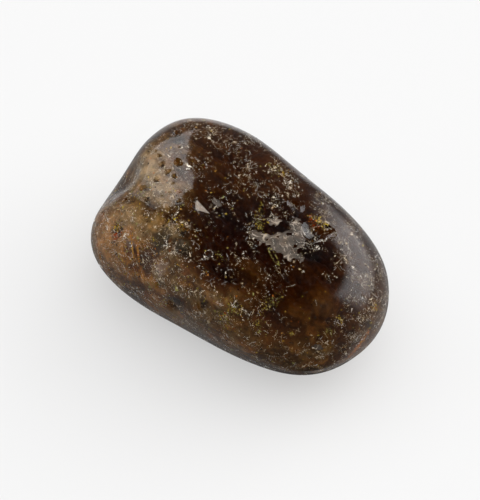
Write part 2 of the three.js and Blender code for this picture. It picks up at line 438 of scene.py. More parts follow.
def skin_normals(ways, step=0.02):
    """Which way the surface faces there."""
    helper = np.where(np.abs(ways[..., 2:]) < 0.95, [0.0, 0.0, 1.0], [1.0, 0.0, 0.0])
    east = np.cross(helper, ways)
    east *= step / np.linalg.norm(east, axis=-1, keepdims=True)
    north = np.cross(ways, east)
    here = skin_points(ways)

    def stepped(move):
        moved = ways + move
        return skin_points(moved / np.linalg.norm(moved, axis=-1, keepdims=True)) - here

    normals = np.cross(stepped(east), stepped(north))
    return normals / np.linalg.norm(normals, axis=-1, keepdims=True)


def even_ways(count):
    """Unit vectors spread evenly over the sphere."""
    index = np.arange(count) + 0.5
    height = 1 - 2 * index / count
    around = index * math.pi * (3 - math.sqrt(5))
    flat = np.sqrt(1 - height**2)
    return np.stack([flat * np.cos(around), flat * np.sin(around), height], -1)


def find_middle():
    """Where the middle of the form lies in the frame, from the node's box."""
    low, high = (np.array(corner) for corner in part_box(PEBBLE_NODE))
    own = skin_points(even_ways(40000))
    middle = (low + high) / 2 - (own.min(0) + own.max(0)) / 2
    middle[2] = low[2] + FOOT_BELOW_MIDDLE
    return middle


MIDDLE = find_middle()


def far_pits():
    made = []
    for i in range(FAR_PITS):
        lon = FAR_PIT_LON + FAR_PIT_ARC * ((i * GOLDEN_STEP) % 1)
        lat = FAR_PIT_LOWEST + (i + 0.5) / FAR_PITS * (FAR_PIT_HIGHEST - FAR_PIT_LOWEST)
        across = FAR_PIT_LARGEST + ((i * GOLDEN_STEP * 2) % 1) * (FAR_PIT_SMALLEST - FAR_PIT_LARGEST)
        made.append(("far pit", lon, lat, across, across * FAR_PIT_DEPTH))
    return made


CARVED_PITS = PITS + far_pits()


def pin_pits():
    """Tiny pits all over, a little denser where the amber is cloudy."""
    rng = np.random.default_rng(PIN_PIT_SEED)
    made = []
    while len(made) < PIN_PITS:
        lon = rng.uniform(-180, 180)
        lat = math.degrees(math.asin(rng.uniform(PIN_PIT_LOWEST, 1)))
        cloudy = cloud_depth(ways_at(lon, lat)[None])[0] < CLEAR_FROM
        if cloudy or rng.random() < PIN_PITS_IN_CLEAR:
            across = rng.uniform(*PIN_PIT_ACROSS)
            made.append(("pin pit", lon, lat, across, across * rng.uniform(*PIN_PIT_DEPTH)))
    return made


def weight_at(ways, places):
    """The sum of round soft places, each a longitude, a latitude, a spread and an amount."""
    total = np.zeros(len(ways))
    for lon, lat, spread, amount in places:
        total += amount * np.exp(-((degrees_between(ways, ways_at(lon, lat)) / spread) ** 2))
    return total


def cloud_depth(ways):
    """How deep under the skin the nearest cloud lies, in millimetres."""
    depth = np.full(len(ways), 99.0)
    for lon, lat, spread, top in CLOUDS:
        away = degrees_between(ways, ways_at(lon, lat)) / spread
        depth = np.minimum(depth, top + CLOUD_FALL * away**2)
    depth = CLOUD_LEVEL * np.tanh(depth / CLOUD_LEVEL)
    skin = skin_points(ways)
    uneven = 0.24 * wander(skin, 7 * MM, 3) + 0.18 * wander(skin, 2.6 * MM, 4)
    uneven += 0.1 * wander(skin, 1.1 * MM, 6)
    return np.clip(depth + uneven * np.minimum(0.5 + depth, 2.5), CLOUD_TOP, CLOUD_LEVEL)


def above_clouds(ways, depths):
    """The depths, in metres, made less where a cloud would hide what lies there."""
    return np.minimum(depths, np.maximum(cloud_depth(ways) - 0.12, 0.06) * MM)


def wander(points, size, seed, waves=7):
    """A smooth uneven value of about -1 to 1 at each point, with features of that size."""
    rng = np.random.default_rng(seed)
    total = np.zeros(len(points))
    for _ in range(waves):
        way = rng.normal(size=3)
        way *= 2 * math.pi / size * rng.uniform(0.6, 1.4) / np.linalg.norm(way)
        total += np.sin(points @ way + rng.uniform(0, 2 * math.pi))
    return total / math.sqrt(waves)


class Pits:
    """All the pits, ready to carve with."""

    def __init__(self):
        rows = CARVED_PITS + pin_pits()
        self.ways = ways_at(np.array([r[1] for r in rows]), np.array([r[2] for r in rows]))
        self.mouths = np.array([r[3] for r in rows]) * MM / 2
        self.depths = np.array([r[4] for r in rows]) * MM
        self.balls = (self.mouths**2 + self.depths**2) / (2 * self.depths)
        self.centres = skin_points(self.ways)
        self.normals = skin_normals(self.ways)
        rng = np.random.default_rng(17)
        self.turns = rng.uniform(0, 2 * math.pi, (len(rows), 2))

    def near(self, points, share, past):
        """Which points lie in or close round a pit."""
        found = np.zeros(len(points), bool)
        for centre, mouth in zip(self.centres, self.mouths):
            found |= np.linalg.norm(points - centre, axis=1) < mouth * share + past * MM
        return found

    def depth_at(self, i, points):
        """How deep pit i is at each point, measured along its own axis."""
        offset = points - self.centres[i]
        along = offset @ self.normals[i]
        across = offset - along[:, None] * self.normals[i]
        side = np.cross(self.normals[i], [0.3, 0.5, 0.81])
        side /= np.linalg.norm(side)
        other = np.cross(self.normals[i], side)
        turn = np.arctan2(across @ other, across @ side)
        uneven = 1 + 0.16 * np.sin(2 * turn + self.turns[i, 0]) + 0.1 * np.sin(3 * turn + self.turns[i, 1])
        out = np.linalg.norm(across, axis=1) / uneven
        cap = np.sqrt(np.maximum(self.balls[i] ** 2 - out**2, 0)) - (self.balls[i] - self.depths[i])
        inside = (out < self.mouths[i]) & (np.abs(along) < self.mouths[i])
        return np.where(inside, np.maximum(cap, 0), 0)

    def carve(self, points):
        """The points moved down into the pits."""
        moved = points.copy()
        for i in range(len(self.mouths)):
            near = np.linalg.norm(points - self.centres[i], axis=1) < self.mouths[i] * 1.3
            depth = self.depth_at(i, points[near])
            already = (points[near] - moved[near]) @ self.normals[i]
            moved[near] -= np.maximum(depth - already, 0)[:, None] * self.normals[i]
        return moved

    def deepest(self, points):
        """How deep the deepest pit over each point is."""
        deep = np.zeros(len(points))
        for i in range(len(self.mouths)):
            near = np.linalg.norm(points - self.centres[i], axis=1) < self.mouths[i] * 1.5
            deep[near] = np.maximum(deep[near], self.depth_at(i, points[near]))
        return deep


pits = Pits()


def under_skin(ways, depth):
    """Points that far under the surface, in the frame, kept under any pit above them and off the foot."""
    points = skin_points(ways)
    on_foot = points[:, 2] < FOOT_EDGE - FOOT_BELOW_MIDDLE
    down = np.where(on_foot, np.maximum(depth, LEAST_ABOVE_FOOT), depth) + pits.deepest(points)
    return points - skin_normals(ways) * down[:, None] + MIDDLE


def new_object(name, mesh):
    piece = bpy.data.objects.new(name, mesh)
    bpy.context.scene.collection.objects.link(piece)
    return piece


def finish_piece(piece, material, smooth=True):
    """Gives a piece its material, and ties it to the pebble."""
    piece.data.materials.append(material)
    piece.data.polygons.foreach_set("use_smooth", [smooth] * len(piece.data.polygons))
    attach(piece, BODY)
    return piece


# Node building

def new_material(name):
    material = bpy.data.materials.new(name)
    material.use_nodes = True
    nodes = material.node_tree.nodes
    return material, nodes, nodes["Principled BSDF"]


class Tree:
    """Adds nodes and joins them."""

    def __init__(self, tree):
        self.tree = tree
        self.next_x = -1400

    def add(self, kind, inputs=None, **settings):
        node = self.tree.nodes.new(kind)
        node.location = (self.next_x, 0)
        self.next_x += 40
        for key, value in settings.items():
            setattr(node, key, value)
        for key, value in (inputs or {}).items():
            if isinstance(value, bpy.types.NodeSocket):
                self.join(value, node.inputs[key])
            else:
                node.inputs[key].default_value = value
        return node

    def join(self, start, end):
        self.tree.links.new(start, end)

    def maths(self, operation, first, second=0.0, clamp=False):
        node = self.add("ShaderNodeMath", {0: first, 1: second}, operation=operation, use_clamp=clamp)
        return node.outputs[0]

    def ramp(self, value, stops):
        """A colour ramp: stops are a place and a colour or a grey."""
        node = self.add("ShaderNodeValToRGB", {"Fac": value})
        elements = node.color_ramp.elements
        while len(elements) < len(stops):
            elements.new(0.5)
        for element, (place, colour) in zip(elements, stops):
            element.position = place
            element.color = (colour,) * 3 + (1,) if isinstance(colour, (int, float)) else (*colour, 1)
        return node.outputs["Color"]

    def mix(self, amount, first, second, blend_type="MIX"):
        node = self.add("ShaderNodeMix", data_type="RGBA", blend_type=blend_type)
        for socket, value in zip((node.inputs[0], node.inputs[6], node.inputs[7]), (amount, first, second)):
            if isinstance(value, bpy.types.NodeSocket):
                self.join(value, socket)
            else:
                socket.default_value = value if isinstance(value, float) else (*value, 1)[:4]
        return node.outputs[2]

    def noise(self, where, scale, detail=3.0, roughness=0.55, distortion=0.0):
        inputs = {"Vector": where, "Scale": scale, "Detail": detail, "Roughness": roughness}
        node = self.add("ShaderNodeTexNoise", {**inputs, "Distortion": distortion})
        return node.outputs["Fac"]

    def between(self, value, low, high):
        """0 at the low value, 1 at the high one, and even between them."""
        inputs = {"Value": value, "From Min": low, "From Max": high}
        return self.add("ShaderNodeMapRange", inputs).outputs[0]


def new_group(name, inputs, outputs):
    """A shader node group with named sockets: each is a name, a kind and, for inputs, a default."""
    group = bpy.data.node_groups.new(name, "ShaderNodeTree")
    for label, kind, default in inputs:
        socket = group.interface.new_socket(label, in_out="INPUT", socket_type=kind)
        if default is not None:
            socket.default_value = default
    for label, kind in outputs:
        group.interface.new_socket(label, in_out="OUTPUT", socket_type=kind)
    tree = Tree(group)
    return group, tree, tree.add("NodeGroupInput"), tree.add("NodeGroupOutput")


def group_once(name, make):
    return bpy.data.node_groups.get(name) or make(name)


def make_mottle(name):
    """Four colours in uneven clouds, with a finer grain over them."""
    group, tree, into, out = new_group(
        name,
        [
            ("Vector", "NodeSocketVector", None),
            ("Scale", "NodeSocketFloat", 300.0),
            ("Colour 1", "NodeSocketColor", (0.1, 0.05, 0.02, 1)),
            ("Colour 2", "NodeSocketColor", (0.2, 0.12, 0.06, 1)),
            ("Colour 3", "NodeSocketColor", (0.3, 0.2, 0.1, 1)),
            ("Colour 4", "NodeSocketColor", (0.2, 0.1, 0.1, 1)),
            ("Grain", "NodeSocketFloat", 0.3),
        ],
        [("Color", "NodeSocketColor"), ("Value", "NodeSocketFloat")],
    )
    where, scale = into.outputs["Vector"], into.outputs["Scale"]
    broad = tree.noise(where, scale, 4.0, 0.6, 0.4)
    other = tree.noise(where, tree.maths("MULTIPLY", scale, 2.3), 3.0, 0.6, 0.6)
    odd = tree.noise(where, tree.maths("MULTIPLY", scale, 1.7), 2.0, 0.5, 1.5)
    fine = tree.noise(where, tree.maths("MULTIPLY", scale, 7.0), 3.0, 0.75)
    first = tree.between(broad, 0.38, 0.62)
    second = tree.between(other, 0.5, 0.68)
    colour = tree.mix(first, into.outputs["Colour 1"], into.outputs["Colour 2"])
    colour = tree.mix(second, colour, into.outputs["Colour 3"])
    third = tree.between(odd, 0.56, 0.66)
    colour = tree.mix(third, colour, into.outputs["Colour 4"])
    grain = tree.maths("MULTIPLY_ADD", tree.maths("SUBTRACT", fine, 0.5), into.outputs["Grain"])
    grain.node.inputs[2].default_value = 1.0
    shaded = tree.add("ShaderNodeVectorMath", {0: colour, 1: grain}, operation="MULTIPLY")
    tree.join(shaded.outputs[0], out.inputs["Color"])
    tree.join(broad, out.inputs["Value"])
    return group


def add_mottle(tree, where, scale, colours, grain=0.3):
    """A mottle of four colours, with its noise at that scale."""
    mottle = tree.add("ShaderNodeGroup", node_tree=group_once("Mottle", make_mottle))
    tree.join(where, mottle.inputs["Vector"])
    mottle.inputs["Scale"].default_value = scale
    mottle.inputs["Grain"].default_value = grain
    for number, colour in enumerate(colours, 1):
        mottle.inputs[f"Colour {number}"].default_value = (*colour, 1)
    return mottle


def make_tumbling(name):
    """The relief and dullness that tumbling leaves on a surface: an orange peel, fine pits and scratches."""
    group, tree, into, out = new_group(
        name,
        [("Vector", "NodeSocketVector", None), ("Scale", "NodeSocketFloat", 1.0)],
        [("Height", "NodeSocketFloat"), ("Dull", "NodeSocketFloat")],
    )
    where = tree.add(
        "ShaderNodeVectorMath", {0: into.outputs["Vector"], 1: into.outputs["Scale"]}, operation="MULTIPLY"
    ).outputs[0]
    peel = tree.noise(where, 260.0, 2.0, 0.5)
    cells = tree.add("ShaderNodeTexVoronoi", {"Vector": where, "Scale": 1900.0}, feature="F1")
    pit = tree.between(cells.outputs["Distance"], 0.1, 0.3)
    patchy = tree.between(tree.noise(where, 420.0, 3.0), 0.5, 0.62)
    pit = tree.mix(patchy, (1.0, 1.0, 1.0), pit)
    stretched = {"Vector": where, "Rotation": (0.5, 0.4, 0.7), "Scale": (1.0, 14.0, 9.0)}
    streak = tree.add("ShaderNodeMapping", stretched)
    scratch = tree.noise(streak.outputs[0], 330.0, 2.0, 0.6, 1.2)
    scratch = tree.between(scratch, 0.62, 0.7)
    height = tree.maths("MULTIPLY_ADD", pit, 0.35)
    tree.join(peel, height.node.inputs[2])
    height = tree.maths("SUBTRACT", height, tree.maths("MULTIPLY", scratch, 0.008))
    dull = tree.noise(where, 700.0, 4.0, 0.7)
    dull = tree.maths("ADD", tree.maths("MULTIPLY", scratch, 0.5), dull, clamp=True)
    tree.join(height, out.inputs["Height"])
    tree.join(dull, out.inputs["Dull"])
    return group


def amber_material(look):
    """Clear brown amber: it soaks up light on its way through, blue first. Lamps reach what lies in it."""
    material, nodes, shader = new_material("clear_amber")
    tree = Tree(material.node_tree)
    where = tree.add("ShaderNodeTexCoord").outputs["Object"]
    tints = (look.skin_dark, look.skin_mid, look.skin_pale, look.skin_red)
    mottle = add_mottle(tree, where, 170.0, tints)
    tumbling = tree.add("ShaderNodeGroup", node_tree=group_once("Tumbling", make_tumbling))
    tree.join(where, tumbling.inputs["Vector"])
    tree.join(mottle.outputs["Color"], shader.inputs["Base Color"])
    dulled = {"Value": tumbling.outputs["Dull"], "From Min": 0.35, "From Max": 0.9}
    rough = tree.add("ShaderNodeMapRange", {**dulled, "To Min": 0.02, "To Max": 0.12})
    tree.join(rough.outputs[0], shader.inputs["Roughness"])
    bump = tree.add(
        "ShaderNodeBump", {"Height": tumbling.outputs["Height"], "Strength": 0.08, "Distance": look.relief}
    )
    tree.join(bump.outputs[0], shader.inputs["Normal"])
    shader.inputs["IOR"].default_value = look.ior
    shader.inputs["Transmission Weight"].default_value = look.clearness
    lets_in = tree.add("ShaderNodeBsdfTransparent", {"Color": (*look.lets_in, 1)})
    lamp_ray = tree.add("ShaderNodeLightPath").outputs["Is Shadow Ray"]
    surface = tree.add("ShaderNodeMixShader", {0: lamp_ray, 1: shader.outputs[0], 2: lets_in.outputs[0]})
    tree.join(surface.outputs[0], nodes["Material Output"].inputs["Surface"])
    soak = tree.add("ShaderNodeVolumeAbsorption")
    soak.inputs["Color"].default_value = (*look.depth_colour, 1)
    soak.inputs["Density"].default_value = look.depth_density
    tree.join(soak.outputs[0], nodes["Material Output"].inputs["Volume"])
    return material


def tone_material(name, stops, roughness, metallic=0.0, scale=2500.0):
    """Small solid bits, each in the tone that its own attribute gives, with a fine grain."""
    material, _nodes, shader = new_material(name)
    tree = Tree(material.node_tree)
    where = tree.add("ShaderNodeTexCoord").outputs["Object"]
    tone = tree.add("ShaderNodeAttribute", attribute_name="tone").outputs["Fac"]
    colour = tree.ramp(tone, stops)
    grain = tree.noise(where, scale, 3.0, 0.65)
    shade = tree.ramp(grain, [(0.3, 0.6), (0.7, 1.0)])
    tree.join(tree.mix(1.0, colour, shade, "MULTIPLY"), shader.inputs["Base Color"])
    bump = tree.add("ShaderNodeBump", {"Height": grain, "Strength": 0.4, "Distance": 0.03 * MM})
    tree.join(bump.outputs[0], shader.inputs["Normal"])
    shader.inputs["Roughness"].default_value = roughness
    shader.inputs["Metallic"].default_value = metallic
    return material


# Pieces

def ball_ways(bm):
    """Unit vectors to the ball's corners."""
    ways = np.array([vert.co for vert in bm.verts])
    return ways / np.linalg.norm(ways, axis=1, keepdims=True)


def mesh_from(bm, name):
    mesh = bpy.data.meshes.new(name)
    bm.to_mesh(mesh)
    bm.free()
    return mesh


def refined_ball():
    """A fine ball of unit size, finer still round the pits."""
    bm = bmesh.new()
    bmesh.ops.create_icosphere(bm, subdivisions=BALL_STEPS, radius=1)
    for share, past in (REFINED_AROUND_PIT, REFINED_IN_PIT):
        bm.faces.ensure_lookup_table()
        centres = np.array([face.calc_center_median() for face in bm.faces])
        centres /= np.linalg.norm(centres, axis=1, keepdims=True)
        chosen = pits.near(skin_points(centres), share, past)
        edges = {edge for i in np.nonzero(chosen)[0] for edge in bm.faces[int(i)].edges}
        bmesh.ops.subdivide_edges(bm, edges=list(edges), cuts=1, use_grid_fill=True)
    bmesh.ops.triangulate(bm, faces=bm.faces[:])
    return bm


def make_body(look):
    bm = refined_ball()
    points = pits.carve(skin_points(ball_ways(bm))) + MIDDLE
    for vert, point in zip(bm.verts, points):
        vert.co = point
    body = finish_piece(new_object("clear_body", mesh_from(bm, "clear_body")), amber_material(look))
    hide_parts(PEBBLE_NODE)
    return body


Bits = namedtuple("Bits", "ways depths lengths widths headings tones")


def joined(groups):
    """Several gatherings of bits as one."""
    return Bits(*(np.concatenate(parts) for parts in zip(*groups)))


def bits_mesh(name, bits, thickness, lean, rng):
    """Small closed splinters in one mesh: each is a thin three-sided slab that tapers up and down."""
    count = len(bits.ways)
    angles = np.array([0.0, 2.1, 4.2]) + rng.uniform(-0.45, 0.45, (count, 3))
    out = rng.uniform(0.7, 1.3, (count, 3))
    corners = np.zeros((count, 5, 3))
    corners[:, :3, 0] = np.cos(angles) * out * bits.lengths[:, None] / 2
    corners[:, :3, 1] = np.sin(angles) * out * bits.widths[:, None] / 2
    corners[:, 3, 2] = thickness / 2
    corners[:, 4, 2] = -thickness / 2
    turns = turns_from(skin_normals(bits.ways), bits.headings, np.full(count, lean), rng)
    centres = under_skin(bits.ways, bits.depths)
    corners = np.einsum("nij,nkj->nki", turns, corners) + centres[:, None, :]
    faces = np.array([[0, 1, 3], [1, 2, 3], [2, 0, 3], [1, 0, 4], [2, 1, 4], [0, 2, 4]])
    faces = (faces[None] + 5 * np.arange(count)[:, None, None]).reshape(-1, 3)
    mesh = bpy.data.meshes.new(name)
    mesh.from_pydata(corners.reshape(-1, 3).tolist(), [], faces.tolist())
    set_attribute(mesh, "tone", np.repeat(bits.tones, 5))
    mesh.update()
    return mesh


def bits_piece(name, bits, thickness, lean, rng, stops, roughness):
    """The bits as one piece, with the colours that their tones stand for."""
    mesh = bits_mesh(name, bits, thickness, lean, rng)
    material = tone_material(name.removesuffix("s"), stops, roughness)
    return finish_piece(new_object(name, mesh), material, smooth=False)


def set_attribute(mesh, name, values):
    mesh.attributes.new(name, "FLOAT", "POINT").data.foreach_set("value", np.asarray(values, np.float32))


def turns_from(normals, spin, tip, rng):
    """Rotation matrices whose third axis leans up to tip radians off each normal."""
    lean = normals + rng.normal(size=normals.shape) * tip[:, None]
    third = lean / np.linalg.norm(lean, axis=1, keepdims=True)
    helper = np.where(np.abs(third[:, 2:]) < 0.9, [[0.0, 0.0, 1.0]], [[1.0, 0.0, 0.0]])
    first = np.cross(helper, third)
    first /= np.linalg.norm(first, axis=1, keepdims=True)
    second = np.cross(third, first)
    cos, sin = np.cos(spin)[:, None], np.sin(spin)[:, None]
    return np.stack([first * cos + second * sin, second * cos - first * sin, third], axis=2)


def beside(lon, lat, along, across, heading):
    """Unit vectors beside a place: along and across are in metres, in a frame turned by heading from east."""
    way = ways_at(lon, lat)
    east = np.cross([0, 0, 1], way)
    east /= np.linalg.norm(east)
    north = np.cross(way, east)
    turn = math.radians(heading)
    first = math.cos(turn) * east + math.sin(turn) * north
    second = math.cos(turn) * north - math.sin(turn) * east
    moved = way * reach_along(way[None])[0] + along[:, None] * first + across[:, None] * second
    return moved / np.linalg.norm(moved, axis=1, keepdims=True)


def mark_bits(marks, bit_length, slimness, rng):
    """The bits of every mark."""
    groups = []
    for mark in marks:
        count = mark.count
        if mark.shape == "ring":
            turn = rng.uniform(0, 2 * math.pi, count)
            along, across = 0.5 * np.cos(turn), 0.5 * np.sin(turn)
            along, across = along + rng.normal(0, 0.03, count), across + rng.normal(0, 0.03, count)
            headings = np.arctan2(np.cos(turn) * mark.width, -np.sin(turn) * mark.length)
        else:
            along, across = rng.normal(0, 0.27, count), rng.normal(0, 0.27, count)
            turn_by = 0.3 if mark.shape == "streak" else math.pi
            headings = rng.uniform(-turn_by, turn_by, count)
        ways = beside(mark.lon, mark.lat, along * mark.length * MM, across * mark.width * MM, mark.heading)
        depths = above_clouds(ways, mark.depth * rng.uniform(0.3, 1.7, count) * MM)
        lengths = bit_length * rng.lognormal(0, 0.4, count)
        tones = np.clip(mark.tone + rng.normal(0, 0.13, count), 0, 1)
        widths = lengths * rng.uniform(slimness, slimness + 0.5, count)
        groups.append(Bits(ways, depths, lengths, widths, headings + math.radians(mark.heading), tones))
    return joined(groups)


def gathered_ways(count, places, usual, rng, clumps=0.0):
    """Unit vectors spread over the surface by its area, gathered round places and in small clumps."""
    ways = []
    most = 2.6
    while len(ways) < count:
        tries = rng.normal(size=(4000, 3))
        tries /= np.linalg.norm(tries, axis=1, keepdims=True)
        many = np.clip(usual + weight_at(tries, places), 0.03, most)
        if clumps:
            clumped = 1 + clumps * wander(skin_points(tries), CLUMP_SIZE, CLUMP_SEED)
            many = np.clip(many * clumped, 0.02, most)
        area = (reach_along(tries) / HALF_LENGTH) ** 2
        ways.extend(tries[rng.random(len(tries)) < many * area / most])
    return np.array(ways[:count])


def pit_marks(share, count, depth, tone, shape="patch"):
    """A mark at each pit that isn't wide, and across it that share of the pit's mouth: it paints a glint
    round the mouth or shade on the floor.
    """
    return [
        Mark(name, lon, lat, across * share, across * share, 0, count, depth, tone, shape)
        for name, lon, lat, across, _depth in CARVED_PITS
        if across < WIDE_PIT
    ]


def fleck_trails(look, rng):
    """Flecks in short feathery trails."""
    starts = gathered_ways(look.trails, FLECKED_PLACES, 0.4, rng, clumps=1.1)
    thread = rng.random(len(starts)) < look.thread_share
    per_trail = np.minimum(rng.geometric(np.where(thread, 0.28, 0.5)), look.longest_trail)
    owner = np.repeat(np.arange(len(starts)), per_trail)
    step = np.concatenate([np.arange(n) - (n - 1) / 2 for n in per_trail])
    count = len(owner)
    thread = thread[owner]
    heading = rng.uniform(0, 2 * math.pi, len(starts))[owner] + step * rng.normal(0, 0.2, len(starts))[owner]
    lengths = look.fleck_size * rng.lognormal(0, 0.45, len(starts))[owner] * rng.lognormal(0, 0.3, count)
    lengths = np.clip(np.where(thread, 1.5 * look.fleck_size, lengths), 0.06 * MM, 0.8 * MM)
    stride = look.fleck_size * np.where(thread, 1.1, rng.uniform(0.5, 1.0, len(starts))[owner])
    east = np.cross([0, 0, 1], starts[owner])
    east /= np.linalg.norm(east, axis=1, keepdims=True)
    north = np.cross(starts[owner], east)
    along = np.cos(heading)[:, None] * east + np.sin(heading)[:, None] * north
    scatter = rng.normal(0, 1, (count, 3)) * np.where(thread, 0.01, 0.06)[:, None] * MM
    ways = starts[owner] * reach_along(starts)[owner][:, None] + along * (step * stride)[:, None] + scatter
    ways /= np.linalg.norm(ways, axis=1, keepdims=True)
    shallow = rng.random(len(starts)) < look.shallow_share
    trail_depth = np.where(shallow, 0.03, 0.1 + rng.exponential(0.5, len(starts)))[owner]
    depths = above_clouds(ways, (np.minimum(trail_depth, 2.6) + rng.uniform(0, 0.06, count)) * MM)
    # Trails just proud of the skin are tiny chips on it, and their extra paleness is a painted sparkle
    proud = (rng.random(len(starts)) < look.proud_share)[owner]
    depths = np.where(proud, -0.006 * MM, depths)
    lengths = np.where(proud, np.minimum(lengths, 0.2 * MM), lengths)
    widths = np.where(thread, 0.06 * MM, np.maximum(lengths * rng.uniform(0.2, 0.6, count), 0.06 * MM))
    tones = rng.normal(0.62, 0.28, len(starts))[owner] + rng.normal(0, 0.08, count) + 0.3 * proud
    headings = heading + np.where(thread, 0.1, 0.9) * rng.uniform(-1, 1, count)
    return Bits(ways, depths, lengths, widths, headings, np.clip(tones, 0, 1))


def make_flecks(look):
    """Pale flecks, in trails all over and in the gatherings that show most, with pale bits that paint glints
    round the pit mouths and in the bowl.
    """
    rng = np.random.default_rng(look.seed)
    # Painted highlight: rings of pale flecks round each pit's mouth stand for the glint on its rim
    painted_rim_glints = pit_marks(1.15, look.per_rim, 0.02, 0.6, "ring")
    bits = joined([fleck_trails(look, rng), mark_bits(PALE_MARKS + painted_rim_glints, look.fleck_size, 0.12, rng)])
    stops = [(0.0, look.tan), (0.3, look.cream), (0.6, look.pale), (1.0, look.white)]
    return bits_piece("pale_flecks", bits, FLAKE_THICKNESS, 0.3, rng, stops, 0.3)


def make_flakes(look):
    """Golden, olive and orange-red flakes, with a streak of orange ones that paints a glow along the lower
    edge.
    """
    rng = np.random.default_rng(look.flake_seed)
    ways = gathered_ways(look.loose_flakes, CLOUDY_HALF, 0.08, rng)
    count = len(ways)
    lengths = look.flake_size * rng.lognormal(0, 0.5, count)
    loose = Bits(
        ways,
        above_clouds(ways, (0.05 + rng.exponential(0.3, count)) * MM),
        lengths,
        lengths * rng.uniform(0.3, 1, count),
        rng.uniform(0, 2 * math.pi, count),
        np.clip(rng.normal(0.6, 0.28, count), 0, 1),
    )
    bits = joined([loose, mark_bits(GOLDEN_MARKS, 0.8 * look.flake_size, 0.5, rng)])
    stops = [(0.0, look.red), (0.28, look.orange), (0.5, look.gold)]
    stops += [(0.66, look.yellow), (0.8, look.olive), (1.0, look.green)]
    return bits_piece("golden_flakes", bits, FLAKE_THICKNESS, 0.3, rng, stops, 0.25)


def make_crumbs(look):
    """Dark crumbs: on the floor of each pit as painted shade, in the dark marks and loose."""
    rng = np.random.default_rng(look.crumb_seed)
    # Painted shade: crumbs on each pit's floor darken it as shade would
    painted_pit_floor_shade = pit_marks(0.75, look.crumbs_per_pit, 0.05, 0.1)
    ways = gathered_ways(look.loose_crumbs, CLOUDY_HALF, 0.25, rng)
    count = len(ways)
    lengths = look.crumb_size * rng.lognormal(0, 0.4, count)
    loose = Bits(
        ways,
        above_clouds(ways, (0.04 + rng.exponential(0.12, count)) * MM),
        lengths,
        lengths * rng.uniform(0.4, 1, count),
        rng.uniform(0, 2 * math.pi, count),
        np.clip(rng.normal(0.25, 0.2, count), 0, 1),
    )
    bits = joined([loose, mark_bits(DARK_MARKS + painted_pit_floor_shade, look.crumb_size, 0.5, rng)])
    stops = [(0.0, look.black), (0.5, look.brown), (1.0, look.violet)]
    return bits_piece("dark_crumbs", bits, CRUMB_THICKNESS, 0.4, rng, stops, 0.5)


def make_fractures(look):
    """Crinkled grey sheets with ragged edges, where the amber has cracked inside, and one flat pale wedge
    that paints a reflection.
    """
    joined_bm = bmesh.new()
    for number, (_name, lon, lat, length, width, heading, depth, shape) in enumerate(FRACTURES):
        bm = bmesh.new()
        steps = int(length / look.sheet_step * MM)
        bmesh.ops.create_grid(bm, x_segments=steps, y_segments=max(int(steps * width / length), 6), size=0.5)
        flat = np.array([vert.co for vert in bm.verts])
        ways = beside(lon, lat, flat[:, 0] * length * MM, flat[:, 1] * width * MM, heading)
        skin = skin_points(ways)
        ragged = 0.16 * wander(skin, 1.6 * MM, 30 + number) + 0.16 * wander(skin, 0.5 * MM, 50 + number)
        out = 2 * np.hypot(flat[:, 0], flat[:, 1])
        ridge = np.maximum(1 - 3 * np.abs(wander(skin, 1.7 * MM, 70 + number)), 0)
        ridge = np.maximum(ridge, 0.8 - 3 * np.abs(wander(skin, 0.8 * MM, 90 + number)))
        fold = 0.5 + 0.3 * wander(skin, 1.6 * MM, 110 + number) + 0.5 * ridge
        places = under_skin(ways, np.maximum(depth + 0.06 - look.crinkle / MM * fold, 0.03) * MM)
        tones = np.clip(0.33 + 0.2 * wander(skin, 1.2 * MM, 130 + number) + 0.5 * ridge**2, 0, 1)
        # The flat pale wedge is a painted reflection
        if shape == "painted_glint_wedge":
            places = under_skin(ways, np.full(len(ways), depth * MM))
            tones = np.full(len(ways), PAINTED_GLINT_TONE)
        tone_layer = bm.verts.layers.float.new("tone")
        for vert, place, tone in zip(bm.verts, places, tones):
            vert.co = place
            vert[tone_layer] = tone
        keep = out + ragged < 0.85
        if shape == "painted_glint_wedge":
            keep = 2 * np.abs(flat[:, 0]) < flat[:, 1] + 0.5
        bmesh.ops.delete(bm, geom=[vert for vert, stays in zip(bm.verts, keep) if not stays], context="VERTS")
        bmesh.ops.delete(bm, geom=[vert for vert in bm.verts if not vert.link_faces], context="VERTS")
        bmesh.ops.recalc_face_normals(bm, faces=bm.faces[:])
        bmesh.ops.solidify(bm, geom=bm.faces[:], thickness=SHEET_THICKNESS)
        bmesh.ops.recalc_face_normals(bm, faces=bm.faces[:])
        sheet = mesh_from(bm, "sheet")
        joined_bm.from_mesh(sheet)
        bpy.data.meshes.remove(sheet)
    bmesh.ops.triangulate(joined_bm, faces=joined_bm.faces[:])
    fractures = new_object("crinkled_fractures", mesh_from(joined_bm, "crinkled_fractures"))
    stops = [(0.0, look.sheet_dark), (0.5, look.sheet_grey), (0.9, look.sheet_pale)]
    return finish_piece(fractures, tone_material("crinkled_fracture", stops, 0.3))


